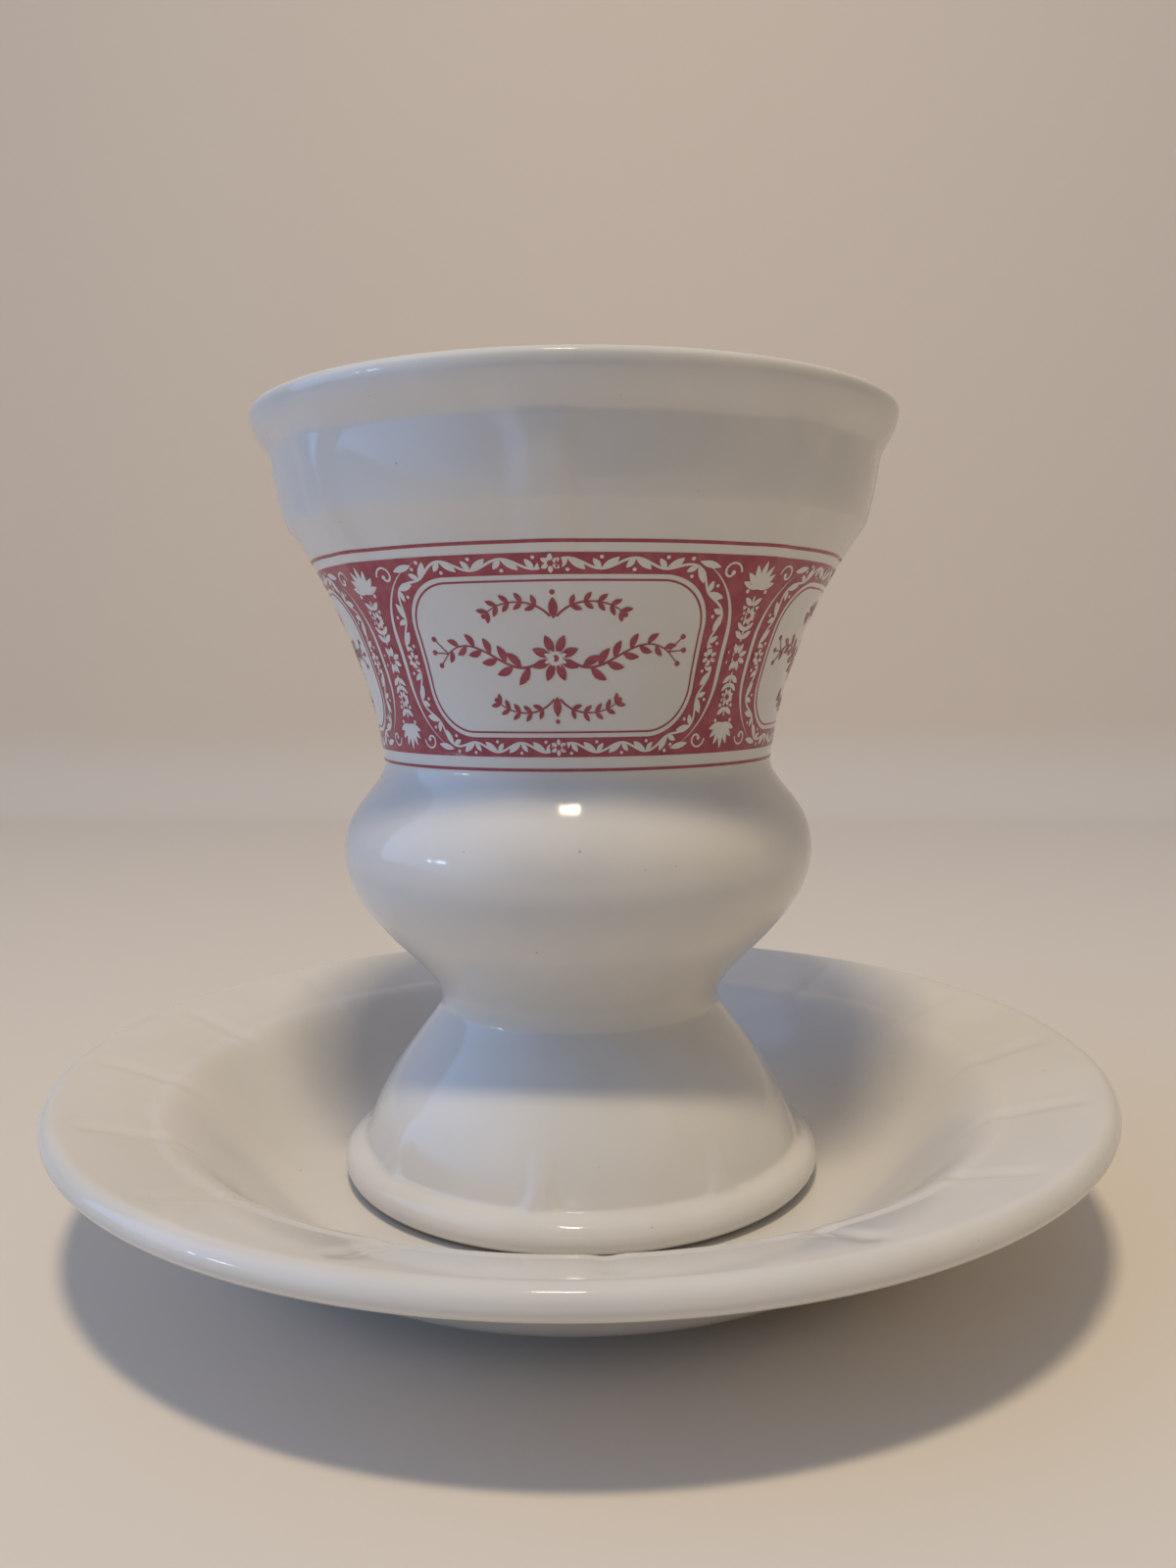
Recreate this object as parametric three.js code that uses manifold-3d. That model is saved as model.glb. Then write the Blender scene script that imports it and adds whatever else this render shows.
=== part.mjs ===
import * as THREE from 'three';
import { mergeVertices } from 'three/addons/utils/BufferGeometryUtils.js';
import Module from 'manifold-3d';

// A pedestal coffee cup standing in the well of its saucer, both in glazed porcelain.
// Millimetres and degrees, +Z up. The origin is on the table under the axis, and -Y is the front.
// The saucer's heights are above the table, and the cup's are above the underside of its foot.

// Saucer
const SAUCER_RADIUS = 78;
const SAUCER_LIP_HEIGHT = 22.1;
const SAUCER_LIP_THICKNESS = 4;
const SAUCER_RIM_CROWN = 0.5;
const SAUCER_WALL = 4.2;
const WELL_HEIGHT = 6.3;
const WELL_FLOOR_RADIUS = 40;
const WELL_EDGE_RADIUS = 63.6;
const WELL_EDGE_HEIGHT = 20.4;
const WELL_EDGE_HOLD = 0.25;
const WELL_FLOOR_HOLD = 0.5;
const UNDERSIDE_TURN_RADIUS = 55.4;
const UNDERSIDE_TURN_HEIGHT = 17.2;
const FOOT_RING_RADIUS = 42.5;
const FOOT_RING_WIDTH = 3.4;
const FOOT_RING_TAPER = 0.6;
const SAUCER_FLUTES = 16;
const GROOVE_DEPTH = 0.3;
const GROOVE_REACH = 2.5;
const GROOVE_MARGIN = 3;
const GROOVE_FADE_OUT = 4;
const GROOVE_FADE_IN = 9;
const SAUCER_TURN = 7;

// Cup: places up its outer face
const FOOT_RADIUS = 36.35;
const FOOT_ROLL_HEIGHT = 5.3;
const FOOT_ROLL_WIDTH = 2.6;
const FOOT_ROLL_END = 60;
const FOOT_FLAT_WIDTH = 2.4;
const BELL_RADIUS = 33.75;
const BELL_HEIGHT = 6.8;
const BELL_LEAN = -16;
const WAIST_RADIUS = 21.3;
const WAIST_HEIGHT = 25.7;
const WAIST_LEAN = -10;
const BULGE_RADIUS = 35.3;
const BULGE_HEIGHT = 49.5;
const NECK_RADIUS = 29.05;
const NECK_HEIGHT = 62.8;
const NECK_LEAN = 6;
const SHOULDER_RADIUS = 42.5;
const SHOULDER_HEIGHT = 96.2;
const SHOULDER_LEAN = 37;
const COLLAR_RADIUS = 44.7;
const COLLAR_HEIGHT = 105.8;
const LIP_RADIUS = 47.05;
const CUP_HEIGHT = 112.9;

// Cup: walls
const CUP_WALL = 4.4;
const LIP_THICKNESS = 3.6;
const LIP_ROUNDING = 1.2;
const BOWL_FLOOR_THICKNESS = 7;
const FOOT_WALL = 4.6;
const FOOT_TOP_THICKNESS = 5.5;
const SEAT_GAP = 0.3;

// Cup: how far each curve of its face holds the direction of its ends, as shares of its height
const BELL_HOLD = [0.6, 0.17];
const LOWER_HOLD = [0.27, 0.48];
const UPPER_HOLD = [0.53, 0.29];
const FLARE_HOLD = [0.28, 0.34];
const COLLAR_HOLD = [0.14, 0.06];
const LIP_HOLD = [0.23, 0.36];

// Cup: moulded panels, between ribs on the bowl and on the foot
const CUP_RIBS = 8;
const BOWL_RIB_WIDTH = 2.4;
const BOWL_PANEL_DEPTH = 0.5;
const BOWL_PANEL_SLOPE = 4;
const BOWL_PANEL_CORNER = 7;
const BOWL_PANEL_TOP = 109.2;
const BOWL_PANEL_FADE_START = 81;
const BOWL_PANEL_FADE_END = 94;
const FOOT_RIB_WIDTH = 1.6;
const FOOT_PANEL_DEPTH = 0.35;
const FOOT_PANEL_SLOPE = 3;
const FOOT_PANEL_CORNER = 4;
const FOOT_PANEL_BOTTOM = 4.9;
const FOOT_PANEL_FADE_START = 8;
const FOOT_PANEL_FADE_END = 15;
const FOOT_TURN = -7;

// Printed band
const PRINTS = ['front', 'right', 'back', 'left'];
const PRINT_THICKNESS = 0.2;
const PRINT_GAP = 0.1;
const PRINT_SPACING = 0.4;
const LINE_WIDTH = 0.5;
const LOWER_LINE_HEIGHT = 63.1;
const UPPER_LINE_HEIGHT = 91.6;
const BAND_BOTTOM = 64.8;
const BAND_TOP = 90.3;
const WINDOW_WIDTH = 41.8;
const WINDOW_BOTTOM = 67.4;
const WINDOW_TOP = 87.6;
const WINDOW_CORNER = 6.8;

// Facets
const SEGMENTS = 64;
const CURVE_STEPS = 6;
const PLAIN_STEPS = 5;
const INSIDE_STEPS = 4;
const SHORT_STEPS = 3;
const LIP_STEPS = 4;
const CORNER_STEPS = 4;

const GLAZE = { color: 0xe2ddd6, roughness: 0.12, metalness: 0 };
const ROSE = { color: 0x9b3e4c, roughness: 0.25, metalness: 0 };

const { degToRad, lerp, smoothstep } = THREE.MathUtils;
const wasm = await Module();
wasm.setup();

const at = (radius, height) => new THREE.Vector2(radius, height);

// A curve of the outline from one place to the next above it, leaning outwards at its ends as given
function bend(low, high, [lowHold, highHold], steps, lowLean = 0, highLean = 0) {
  const rise = high.y - low.y;
  const along = (lean, share) => at(Math.tan(degToRad(lean)), 1).multiplyScalar(share * rise);
  const afterLow = low.clone().add(along(lowLean, lowHold));
  const beforeHigh = high.clone().sub(along(highLean, highHold));
  return new THREE.CubicBezierCurve(low, afterLow, beforeHigh, high).getPoints(steps);
}

// How deep a moulded panel lies at a point, from its distance to the rib beside it and to its closed end
function panelDepth(fromRib, fromEnd, depth, slope, corner) {
  const overSide = Math.max(corner - fromRib, 0);
  const overEnd = Math.max(corner - fromEnd, 0);
  return depth * smoothstep(corner - Math.hypot(overSide, overEnd), 0, slope);
}

// Distance along the surface from the side of the nearest of a ring of ribs or grooves, the first at angle 0
function distanceFromNearest(radius, angle, count, width = 0) {
  const pitch = (2 * Math.PI) / count;
  const offset = angle - pitch * Math.round(angle / pitch);
  return radius * Math.abs(offset) - width / 2;
}

// Revolves an outline about Z, and moves the points that lie on its moulded face by what relief gives
function revolve(outline, face = [], relief = null) {
  const geometry = new THREE.LatheGeometry(outline, SEGMENTS);
  const moulded = new Set(face);
  const { position } = geometry.attributes;
  for (let i = 0; i < position.count; i += 1) {
    const point = outline[i % outline.length];
    if (moulded.has(point)) {
      const angle = Math.atan2(position.getX(i), position.getZ(i));
      const { sunk = 0, lowered = 0 } = relief(point, angle);
      const radius = point.x - sunk;
      position.setXYZ(i, radius * Math.sin(angle), point.y - lowered, radius * Math.cos(angle));
    }
  }
  return geometry.rotateX(Math.PI / 2);
}

function part(name, geometry, finish) {
  const mesh = new THREE.Mesh(geometry, new THREE.MeshStandardMaterial(finish));
  mesh.name = name;
  return mesh;
}

// Saucer: a flat-floored well, a rising rim with flutes between fine grooves, and a foot ring
function makeSaucer() {
  const halfLip = SAUCER_LIP_THICKNESS / 2;
  const base = WELL_HEIGHT - SAUCER_WALL;
  const lipCentre = at(SAUCER_RADIUS - halfLip, SAUCER_LIP_HEIGHT);
  const ringInside = FOOT_RING_RADIUS - FOOT_RING_WIDTH;
  const underside = [
    at(0, base),
    at(ringInside - FOOT_RING_TAPER, base),
    at(ringInside, 0),
    at(FOOT_RING_RADIUS, 0),
    at(FOOT_RING_RADIUS + FOOT_RING_TAPER, base),
  ];
  const sweep = new THREE.CubicBezierCurve(
    underside.at(-1),
    at(UNDERSIDE_TURN_RADIUS, base),
    at(UNDERSIDE_TURN_RADIUS, UNDERSIDE_TURN_HEIGHT),
    at(lipCentre.x, lipCentre.y - halfLip),
  ).getPoints(CURVE_STEPS);
  const lip = new THREE.EllipseCurve(lipCentre.x, lipCentre.y, halfLip, halfLip, -Math.PI / 2, Math.PI / 2)
    .getPoints(CURVE_STEPS);
  const edge = at(WELL_EDGE_RADIUS, WELL_EDGE_HEIGHT);
  const rimMiddle = lip.at(-1).clone().add(edge).divideScalar(2);
  const crown = at(rimMiddle.x, rimMiddle.y + SAUCER_RIM_CROWN);
  const rim = new THREE.QuadraticBezierCurve(lip.at(-1), crown, edge).getPoints(SHORT_STEPS);
  const floorEdge = at(WELL_FLOOR_RADIUS, WELL_HEIGHT);
  const well = new THREE.CubicBezierCurve(
    edge,
    edge.clone().lerp(at(WELL_FLOOR_RADIUS, WELL_EDGE_HEIGHT), WELL_EDGE_HOLD),
    floorEdge.clone().lerp(at(WELL_EDGE_RADIUS, WELL_HEIGHT), WELL_FLOOR_HOLD),
    floorEdge,
  ).getPoints(PLAIN_STEPS);
  const face = [...rim.slice(1), ...well.slice(1)];
  const outline = [...underside, ...sweep.slice(1), ...lip.slice(1), ...face, at(0, WELL_HEIGHT)];

  const grooveEnd = SAUCER_RADIUS - GROOVE_MARGIN;
  const relief = (point, angle) => {
    const fromGroove = distanceFromNearest(point.x, angle, SAUCER_FLUTES);
    const fadeIn = smoothstep(point.x, WELL_EDGE_RADIUS - GROOVE_FADE_IN, WELL_EDGE_RADIUS);
    const fadeOut = 1 - smoothstep(point.x, grooveEnd - GROOVE_FADE_OUT, grooveEnd);
    const depth = GROOVE_DEPTH * fadeIn * fadeOut;
    return { lowered: depth * (1 - smoothstep(fromGroove, 0, GROOVE_REACH)) };
  };
  const saucer = part('saucer', revolve(outline, face, relief), GLAZE);
  saucer.rotation.z = degToRad(SAUCER_TURN);
  return saucer;
}

// Cup foot: a hollow bell on a rolled base edge, with panels that close above the roll and fade upwards
function makeCupFoot() {
  const rollHeight = FOOT_ROLL_HEIGHT / 2;
  const rollCentre = FOOT_RADIUS - FOOT_ROLL_WIDTH;
  const waist = at(WAIST_RADIUS, WAIST_HEIGHT);
  const hollowTop = WAIST_HEIGHT - FOOT_TOP_THICKNESS;
  const hollow = new THREE.CubicBezierCurve(
    at(0, hollowTop),
    at(WAIST_RADIUS - FOOT_WALL / 2, hollowTop),
    at(rollCentre - FOOT_WALL, hollowTop / 2),
    at(rollCentre - FOOT_FLAT_WIDTH, 0),
  ).getPoints(PLAIN_STEPS);
  const roll = new THREE.EllipseCurve(
    rollCentre,
    rollHeight,
    FOOT_ROLL_WIDTH,
    rollHeight,
    -Math.PI / 2,
    degToRad(FOOT_ROLL_END),
  ).getPoints(CURVE_STEPS);
  const bell = bend(at(BELL_RADIUS, BELL_HEIGHT), waist, BELL_HOLD, CURVE_STEPS, BELL_LEAN, WAIST_LEAN);
  const outline = [...hollow, ...roll, ...bell, at(0, WAIST_HEIGHT)];

  const relief = (point, angle) => {
    const fromRib = distanceFromNearest(point.x, angle, CUP_RIBS, FOOT_RIB_WIDTH);
    const fade = 1 - smoothstep(point.y, FOOT_PANEL_FADE_START, FOOT_PANEL_FADE_END);
    const depth = FOOT_PANEL_DEPTH * fade;
    const fromEnd = point.y - FOOT_PANEL_BOTTOM;
    return { sunk: panelDepth(fromRib, fromEnd, depth, FOOT_PANEL_SLOPE, FOOT_PANEL_CORNER) };
  };
  const foot = part('cup_foot', revolve(outline, bell, relief), GLAZE);
  foot.rotation.z = degToRad(FOOT_TURN);
  return foot;
}

// The bowl's outer face from the waist up to the lip, with as many points on each curve as asked
function bowlFace(steps, shortSteps) {
  const waist = at(WAIST_RADIUS, WAIST_HEIGHT);
  const bulge = at(BULGE_RADIUS, BULGE_HEIGHT);
  const neck = at(NECK_RADIUS, NECK_HEIGHT);
  const shoulder = at(SHOULDER_RADIUS, SHOULDER_HEIGHT);
  const collar = at(COLLAR_RADIUS, COLLAR_HEIGHT);
  const lip = at(LIP_RADIUS, CUP_HEIGHT - LIP_ROUNDING);
  return [
    ...bend(waist, bulge, LOWER_HOLD, steps, WAIST_LEAN),
    ...bend(bulge, neck, UPPER_HOLD, steps).slice(1),
    ...bend(neck, shoulder, FLARE_HOLD, steps, NECK_LEAN, SHOULDER_LEAN).slice(1),
    ...bend(shoulder, collar, COLLAR_HOLD, shortSteps, SHOULDER_LEAN).slice(1),
    ...bend(collar, lip, LIP_HOLD, shortSteps).slice(1),
  ];
}

// The panels of the bowl close in an arch under the lip and fade out downwards into the printed band
function bowlRelief(point, angle) {
  const fromRib = distanceFromNearest(point.x, angle, CUP_RIBS, BOWL_RIB_WIDTH);
  const fromEnd = BOWL_PANEL_TOP - point.y;
  const depth = BOWL_PANEL_DEPTH * smoothstep(point.y, BOWL_PANEL_FADE_START, BOWL_PANEL_FADE_END);
  return { sunk: panelDepth(fromRib, fromEnd, depth, BOWL_PANEL_SLOPE, BOWL_PANEL_CORNER) };
}

// Cup bowl: one wall all the way up, thick at the floor over the waist, with a rounded lip
function makeCupBowl(face) {
  const floor = WAIST_HEIGHT + BOWL_FLOOR_THICKNESS;
  const lip = new THREE.EllipseCurve(
    LIP_RADIUS - LIP_THICKNESS / 2,
    CUP_HEIGHT - LIP_ROUNDING,
    LIP_THICKNESS / 2,
    LIP_ROUNDING,
    0,
    Math.PI,
  ).getPoints(LIP_STEPS);
  const inside = bowlFace(INSIDE_STEPS, SHORT_STEPS - 1)
    .filter((point) => point.y > floor + CUP_WALL && point.y < COLLAR_HEIGHT)
    .map((point) => at(point.x - CUP_WALL, point.y))
    .reverse();
  const floorCurve = new THREE.QuadraticBezierCurve(
    inside.at(-1),
    at(inside.at(-1).x - CUP_WALL, floor),
    at(0, floor),
  ).getPoints(SHORT_STEPS);
  const outline = [at(0, WAIST_HEIGHT), ...face, ...lip.slice(1), ...inside, ...floorCurve.slice(1)];
  return part('cup_bowl', revolve(outline, face, bowlRelief), GLAZE);
}

function toSolid(geometry) {
  const plain = geometry.clone();
  plain.deleteAttribute('normal');
  plain.deleteAttribute('uv');
  const merged = mergeVertices(plain);
  const mesh = new wasm.Mesh({
    numProp: 3,
    vertProperties: new Float32Array(merged.attributes.position.array),
    triVerts: new Uint32Array(merged.index.array),
  });
  return new wasm.Manifold(mesh);
}

function toGeometry(solid) {
  const { vertProperties, triVerts } = solid.getMesh();
  const geometry = new THREE.BufferGeometry();
  geometry.setAttribute('position', new THREE.BufferAttribute(vertProperties, 3));
  geometry.setIndex(new THREE.BufferAttribute(triVerts, 1));
  return geometry;
}

// A printed layer on the bowl between two heights, following the facets of its face at the print's gap
function printLayer(face, low, high) {
  const facetAt = (height) => {
    const above = face.findIndex((point) => point.y >= height);
    const [from, to] = [face[above - 1], face[above]];
    return { from, to, share: (height - from.y) / (to.y - from.y) };
  };
  const onFace = (height) => {
    const { from, to, share } = facetAt(height);
    return from.clone().lerp(to, share);
  };
  const relief = (point, angle) => {
    const { from, to, share } = facetAt(point.y);
    return { sunk: lerp(bowlRelief(from, angle).sunk, bowlRelief(to, angle).sunk, share) };
  };
  const between = face.filter((point) => point.y > low && point.y < high);
  const track = [onFace(low), ...between, onFace(high)];
  const filledTo = (offset) => {
    const skin = track.map((point) => at(point.x + offset, point.y));
    return toSolid(revolve([at(0, low), ...skin, at(0, high)], skin, relief));
  };
  return filledTo(PRINT_GAP + PRINT_THICKNESS).subtract(filledTo(PRINT_GAP));
}

// A flat shape, wide along the printed band and as high as the cup, bent round the axis into a cutter
// that reaches from well inside the cup's wall to well outside it
function bentCutter(shape, reachIn, reachOut) {
  const middle = (NECK_RADIUS + SHOULDER_RADIUS) / 2;
  const geometry = new THREE.ExtrudeGeometry(shape, { depth: 1, bevelEnabled: false });
  const { position } = geometry.attributes;
  for (let i = 0; i < position.count; i += 1) {
    const angle = position.getX(i) / middle;
    const radius = position.getZ(i) > 0 ? reachOut : reachIn;
    position.setXYZ(i, radius * Math.sin(angle), -radius * Math.cos(angle), position.getY(i));
  }
  return toSolid(geometry);
}

// The open window of a print: a rectangle with rounded corners
function windowShape() {
  const right = WINDOW_WIDTH / 2 - WINDOW_CORNER;
  const top = WINDOW_TOP - WINDOW_CORNER;
  const bottom = WINDOW_BOTTOM + WINDOW_CORNER;
  const corners = [[right, top], [-right, top], [-right, bottom], [right, bottom]];
  const points = corners.flatMap(([x, y], index) => {
    const start = (index * Math.PI) / 2;
    const corner = new THREE.EllipseCurve(x, y, WINDOW_CORNER, WINDOW_CORNER, start, start + Math.PI / 2);
    return corner.getPoints(CORNER_STEPS);
  });
  return new THREE.Shape(points);
}

// Printed band: four transfers side by side, each a quarter of the way round with its window open
function makeBandPrints(face) {
  const band = printLayer(face, BAND_BOTTOM, BAND_TOP);
  const reachIn = NECK_RADIUS / 3;
  const reachOut = 2 * LIP_RADIUS;
  const corner = reachOut - PRINT_SPACING / 2;
  const quarter = new THREE.Shape([
    at(0, -PRINT_SPACING * Math.SQRT1_2),
    at(corner, -reachOut),
    at(-corner, -reachOut),
  ]);
  const wedge = new THREE.ExtrudeGeometry(quarter, { depth: CUP_HEIGHT, bevelEnabled: false });
  const print = band.intersect(toSolid(wedge)).subtract(bentCutter(windowShape(), reachIn, reachOut));
  const geometry = toGeometry(print);
  return PRINTS.map((side, index) => {
    const quarterTurn = (index * Math.PI) / 2;
    return part(`band_print_${side}`, geometry.clone().rotateZ(quarterTurn), ROSE);
  });
}

const face = bowlFace(CURVE_STEPS, SHORT_STEPS);
const printLine = (name, height) => {
  const half = LINE_WIDTH / 2;
  return part(name, toGeometry(printLayer(face, height - half, height + half)), ROSE);
};

const cup = new THREE.Group();
cup.position.z = WELL_HEIGHT + SEAT_GAP;
cup.add(
  makeCupFoot(),
  makeCupBowl(face),
  printLine('lower_line', LOWER_LINE_HEIGHT),
  printLine('upper_line', UPPER_LINE_HEIGHT),
  ...makeBandPrints(face),
);

const cupWithSaucer = new THREE.Group();
cupWithSaucer.add(makeSaucer(), cup);

export default cupWithSaucer;
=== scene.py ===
import math
from bisect import bisect_left

import bmesh
import bpy
from mathutils import Matrix, Vector
from mathutils.geometry import interpolate_bezier


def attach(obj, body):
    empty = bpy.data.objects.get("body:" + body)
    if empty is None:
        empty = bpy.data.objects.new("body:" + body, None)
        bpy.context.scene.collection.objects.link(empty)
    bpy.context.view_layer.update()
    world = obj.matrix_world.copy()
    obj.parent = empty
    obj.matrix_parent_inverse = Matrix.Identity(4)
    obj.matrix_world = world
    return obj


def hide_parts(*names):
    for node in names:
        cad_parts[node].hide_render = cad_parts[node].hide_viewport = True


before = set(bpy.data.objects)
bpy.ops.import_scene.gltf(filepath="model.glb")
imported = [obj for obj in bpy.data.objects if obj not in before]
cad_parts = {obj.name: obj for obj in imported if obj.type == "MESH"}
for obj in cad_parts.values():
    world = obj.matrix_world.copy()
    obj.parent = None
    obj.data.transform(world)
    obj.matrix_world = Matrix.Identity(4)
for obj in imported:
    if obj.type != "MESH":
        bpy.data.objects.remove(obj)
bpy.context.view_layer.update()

# Saucer
# A porcelain dish, pressed in one piece: a flat well for the cup, a rising rim with sixteen flutes
# between fine grooves, and a foot ring below. It is dipped in a cream glaze with a few iron specks,
# and the ring it stands on is wiped bare before firing.
MM = 0.001
SAUCER_RADIUS, SAUCER_LIP, LIP_THICKNESS, RIM_CROWN = 78, 22.1, 4, 0.5
WELL_HEIGHT, WELL_RADIUS = 6.3, 40
WELL_EDGE, WELL_HOLDS = (63.6, 20.4), (0.25, 0.5)
SAUCER_BASE, UNDERSIDE_TURN = 2.1, (55.4, 17.2)
FOOT_RING, RING_TAPER, RING_EDGE, RING_BARE = (39.1, 42.5), 0.6, 0.7, 0.35
SAUCER_FLUTES, SAUCER_TURN = 16, math.radians(7)
GROOVE_DEPTH, GROOVE_REACH, GROOVE_FADE_IN, GROOVE_FADE_OUT = 0.3, 2.5, 9, (71, 75)
SEGMENTS, SHARP_EDGE, MERGE_WITHIN = 432, math.radians(50), 0.004
GLAZE_CREAM, GLAZE_POOLED = (0.76, 0.725, 0.67), (0.72, 0.688, 0.63)
GLAZE_POOLS, GLAZE_PATCHES, GLAZE_SWELLS, SWELL_HEIGHT = 60, 240, 110, 0.25
GLAZE_SMOOTH, GLAZE_DULL = 0.06, 0.11
SPECK_BROWN, SPECK_STRENGTH = (0.30, 0.21, 0.13), 0.55
SPECKS, FINE_SPECKS = (330, 0.055, 0.26), (620, 0.05, 0.12)
BARE_PORCELAIN, GRAIN_SHADE, GRAIN, GRAIN_HEIGHT = (0.70, 0.66, 0.58), 0.82, 1800, 0.05


def at(radius, height):
    """A point of a profile, drawn on the front side of the axis, from millimetres."""
    return Vector((0, -radius, height)) * MM


def arc(radius, height, width, rise, start, end, steps):
    """A rounded edge of a profile, from one angle to another, in degrees above straight outwards."""
    angles = [math.radians(start + (end - start) * i / steps) for i in range(steps + 1)]
    return [at(radius + width * math.cos(a), height + rise * math.sin(a)) for a in angles]


def sweep(start, middle, end, steps):
    """A profile that leaves start towards middle and comes into end from it."""
    return interpolate_bezier(start, start.lerp(middle, 2 / 3), end.lerp(middle, 2 / 3), end, steps)


def smoothstep(value, start, end):
    """Rises softly from 0 at start to 1 at end."""
    share = min(max((value - start) / (end - start), 0), 1)
    return share * share * (3 - 2 * share)


def panel_depth(from_rib, from_end, slope, corner):
    """How far a moulded panel has sunk, from 0 on its ribs to 1 inside its rounded corners."""
    over = math.hypot(max(corner - from_rib, 0), max(corner - from_end, 0))
    return smoothstep(corner - over, 0, slope)


def from_nearest(radius, angle, count, width=0):
    """The distance round a surface from the side of the nearest of a ring of ribs or grooves."""
    pitch = 2 * math.pi / count
    return radius * abs(angle - pitch * round(angle / pitch)) - width / 2


def round_axis(point):
    """How far a point lies from the axis, in millimetres, and its angle from the front."""
    return math.hypot(point.x, point.y) / MM, math.atan2(point.x, -point.y)


def spin_panel(bm, profile, panels):
    """Turns a profile about the axis through the width of one panel, and gives the new points."""
    verts = [bm.verts.new(point) for point in profile]
    edges = [bm.edges.new(pair) for pair in zip(verts, verts[1:])]
    before = len(bm.verts) - len(verts)
    angle, steps = 2 * math.pi / panels, SEGMENTS // panels
    bmesh.ops.spin(bm, geom=verts + edges, axis=(0, 0, 1), cent=(0, 0, 0), angle=angle, steps=steps)
    bm.verts.ensure_lookup_table()
    return bm.verts[before:]


def repeat_panel(bm, panels):
    """Repeats a finished panel round the axis and joins all to one shell with its faces outwards."""
    panel = [*bm.verts, *bm.edges, *bm.faces]
    rest = panels - 1
    angle = 2 * math.pi * rest / panels
    bmesh.ops.spin(
        bm, geom=panel, axis=(0, 0, 1), cent=(0, 0, 0), angle=angle, steps=rest, use_duplicate=True
    )
    bmesh.ops.remove_doubles(bm, verts=bm.verts, dist=MERGE_WITHIN * MM)
    bmesh.ops.recalc_face_normals(bm, faces=bm.faces)
    for face in bm.faces:
        face.smooth = True
    for edge in bm.edges:
        edge.smooth = edge.calc_face_angle(0) < SHARP_EDGE


def make_object(bm, name, materials):
    """Puts a finished mesh in the scene with its materials, at the origin."""
    mesh = bpy.data.meshes.new(name)
    bm.to_mesh(mesh)
    bm.free()
    for material in materials:
        mesh.materials.append(material)
    made = bpy.data.objects.new(name, mesh)
    bpy.context.scene.collection.objects.link(made)
    return made


def finish_piece(bm, name, body, nodes, materials):
    """Makes the piece from its finished mesh, in place of the CAD nodes that it stands for."""
    piece = make_object(bm, name, materials)
    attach(piece, body)
    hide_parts(*nodes)


def new_material(name, **sockets):
    """A material whose constant values sit on the shader itself, with its tree ready for more nodes."""
    material = bpy.data.materials.new(name)
    material.use_nodes = True
    shader = material.node_tree.nodes["Principled BSDF"]
    for socket, value in sockets.items():
        shader.inputs[socket.replace("_", " ")].default_value = value
    return material, material.node_tree, shader


def add_node(tree, kind, inputs=(), **settings):
    """A node with its settings, and each input set to a value or linked from an output."""
    node = tree.nodes.new(kind)
    for name, value in settings.items():
        setattr(node, name, value)
    for name, value in dict(inputs).items():
        if isinstance(value, bpy.types.NodeSocket):
            tree.links.new(value, node.inputs[name])
        else:
            node.inputs[name].default_value = value
    return node


def object_place(tree):
    """Each point's own place on the object, in metres."""
    return add_node(tree, "ShaderNodeTexCoord").outputs["Object"]


def object_noise(tree, scale, detail=2.0):
    """Soft noise with so many swells to the metre."""
    inputs = {"Vector": object_place(tree), "Scale": scale, "Detail": detail}
    return add_node(tree, "ShaderNodeTexNoise", inputs).outputs["Fac"]


def remap(tree, value, low, high, to_low, to_high):
    """A value carried over from one range to another, and held at the ends."""
    inputs = {"Value": value, "From Min": low, "From Max": high, "To Min": to_low, "To Max": to_high}
    return add_node(tree, "ShaderNodeMapRange", inputs).outputs["Result"]


def mix_colour(tree, share, first, second):
    """A share of the second colour in the first, by the sockets that a mix of colours uses."""
    mix = add_node(tree, "ShaderNodeMix", data_type="RGBA")
    for socket, value in zip((mix.inputs[0], mix.inputs[6], mix.inputs[7]), (share, first, second)):
        if isinstance(value, bpy.types.NodeSocket):
            tree.links.new(value, socket)
        elif isinstance(value, tuple):
            socket.default_value = (*value, 1)
        else:
            socket.default_value = value
    return mix.outputs[2]


def specks(tree, per_metre, radius, share):
    """1 inside sparse round specks: so many cells to the metre, a speck in a share of them."""
    cells = add_node(tree, "ShaderNodeTexVoronoi", {"Vector": object_place(tree), "Scale": per_metre})
    chance = add_node(tree, "ShaderNodeSeparateColor", {"Color": cells.outputs["Color"]})
    size = remap(tree, chance.outputs["Red"], 1 - share, 1, 0.0, radius)
    reach = {0: cells.outputs["Distance"], 1: size}
    return add_node(tree, "ShaderNodeMath", reach, operation="LESS_THAN").outputs[0]


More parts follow.
